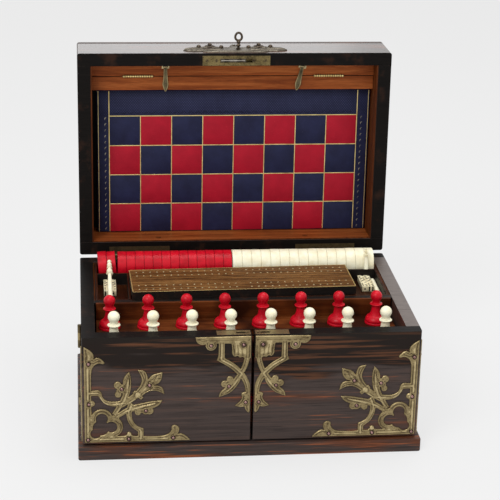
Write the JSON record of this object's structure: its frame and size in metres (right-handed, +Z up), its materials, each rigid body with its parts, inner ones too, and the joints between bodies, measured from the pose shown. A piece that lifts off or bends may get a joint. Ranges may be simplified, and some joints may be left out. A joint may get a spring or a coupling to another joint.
{
  "type": "games compendium box",
  "caption": "Victorian Gothic games box: lid standing open with a folding board in it, two front doors, chess sets, and a lift-out tray of draughts, dice, pegs and a cribbage board.",
  "frame": {"origin": "centre of the case's footprint on the underside of the base board and plinth", "axes": "+Z up, +Y from the door fronts to the back panel, +X to the right seen from the front"},
  "size_m": [0.3388, 0.2858, 0.37],
  "materials": {
    "black_wood": "polished coromandel, near black with reddish brown streaks",
    "ebonised_wood": "satin ebonised wood",
    "mahogany": "satin orange-brown mahogany",
    "crib_wood": "polished mahogany in a dark frame with brass lines",
    "aged_brass": "aged, dull gilt in the hollows and rubbed on the edges",
    "dark_bronze": "dark, tarnished",
    "red_bone": "polished bone, stained red",
    "white_bone": "polished cream bone",
    "board_leather": "navy leather with red squares and gilt lines",
    "card": "plain card edges"
  },
  "bodies": {
    "case": {"plinth": "black_wood", "base_board": "black_wood", "left_side": "black_wood", "right_side": "black_wood", "back_panel": "black_wood", "partition": "ebonised_wood", "well_lining": "mahogany", "tray_bearers": "mahogany", "red_rack": "mahogany", "red_men": "red_bone", "case_hinge_leaves": "aged_brass", "case_hinge_pins": "aged_brass"},
    "left_door": {"left_door_front": "black_wood", "left_door_return": "black_wood", "left_rack": "mahogany", "left_corner_mount": "aged_brass", "left_centre_mount": "aged_brass", "left_side_mount": "aged_brass", "left_mount_pins": "aged_brass", "left_strike_plate": "aged_brass", "left_door_leaves": "aged_brass", "left_white_men": "white_bone"},
    "right_door": {"right_door_front": "black_wood", "right_door_return": "black_wood", "right_rack": "mahogany", "right_corner_mount": "aged_brass", "right_centre_mount": "aged_brass", "right_side_mount": "aged_brass", "right_mount_pins": "aged_brass", "right_strike_plate": "aged_brass", "right_door_leaves": "aged_brass", "right_white_men": "white_bone"},
    "lid": {"lid_top": "black_wood", "lid_front_wall": "black_wood", "lid_back_wall": "black_wood", "lid_left_wall": "black_wood", "lid_right_wall": "black_wood", "lid_lining": "mahogany", "lid_batten": "mahogany", "lid_hinge_leaves": "aged_brass", "lock_case": "aged_brass", "escutcheon": "aged_brass", "lid_small_pins": "aged_brass", "flap_fixed_leaves": "aged_brass", "catch_brackets": "aged_brass"},
    "flap": {"retaining_flap": "mahogany", "flap_leaves": "aged_brass"},
    "left_catch": {"catch_left": "aged_brass"},
    "right_catch": {"catch_right": "aged_brass"},
    "games_board": {"board_front_leaf": "board_leather", "board_back_leaf": "board_leather"},
    "lock_key": {"key": "dark_bronze"},
    "bolt": {"lock_bolt": "aged_brass"},
    "games_tray": {"tray": "ebonised_wood", "red_draughts": "red_bone", "white_draughts": "white_bone", "dice": "white_bone", "pegs": "white_bone", "card_packs": "card"},
    "crib": {"cribbage_board": "crib_wood"}
  },
  "joints": [
    {"name": "lid_hinge", "type": "hinge", "parent": "case", "child": "lid", "pos_m": [0, 0.1116, 0.1294], "axis": [-1, 0, 0], "range_deg": [-91, 0]},
    {"name": "left_door_hinge", "type": "hinge", "parent": "case", "child": "left_door", "pos_m": [-0.1664, -0.053, 0.07], "axis": [0, 0, -1], "range_deg": [0, 110]},
    {"name": "right_door_hinge", "type": "hinge", "parent": "case", "child": "right_door", "pos_m": [0.1664, -0.053, 0.07], "axis": [0, 0, 1], "range_deg": [0, 110]},
    {"name": "flap_hinge", "type": "hinge", "parent": "lid", "child": "flap", "pos_m": [0, 0.13326, 0.3218], "axis": [-1, 0, 0], "range_deg": [0, 90]},
    {"name": "left_catch_hinge", "type": "hinge", "parent": "lid", "child": "left_catch", "pos_m": [-0.0725, 0.13234, 0.33217], "axis": [-1, 0, 0], "range_deg": [0, 92]},
    {"name": "right_catch_hinge", "type": "hinge", "parent": "lid", "child": "right_catch", "pos_m": [0.073, 0.13234, 0.33217], "axis": [-0.9744, 0.0039, 0.2249], "range_deg": [0, 92]},
    {"name": "board_slide", "type": "slide", "parent": "lid", "child": "games_board", "axis": [0, -0.9998, 0.0175], "range_m": [0, 0.044]},
    {"name": "key_turn", "type": "hinge", "parent": "lid", "child": "lock_key", "pos_m": [0.0038, 0.12819, 0.34074], "axis": [0, 0.0175, 0.9998], "range_deg": [0, 91]},
    {"name": "bolt_slide", "type": "slide", "parent": "lid", "child": "bolt", "axis": [1, 0, 0], "range_m": [0, 0.003]},
    {"name": "tray_lift", "type": "slide", "parent": "case", "child": "games_tray", "axis": [0, 0, 1], "range_m": [0, 0.06]},
    {"name": "crib_lift", "type": "slide", "parent": "games_tray", "child": "crib", "axis": [0, 0, 1], "range_m": [0, 0.04]}
  ],
  "couplings": [
    {"joint": "left_catch_hinge", "follows": "flap_hinge", "ratio": 1},
    {"joint": "right_catch_hinge", "follows": "flap_hinge", "ratio": 1},
    {"joint": "key_turn", "follows": "bolt_slide", "rad_per_m": 523.59}
  ]
}
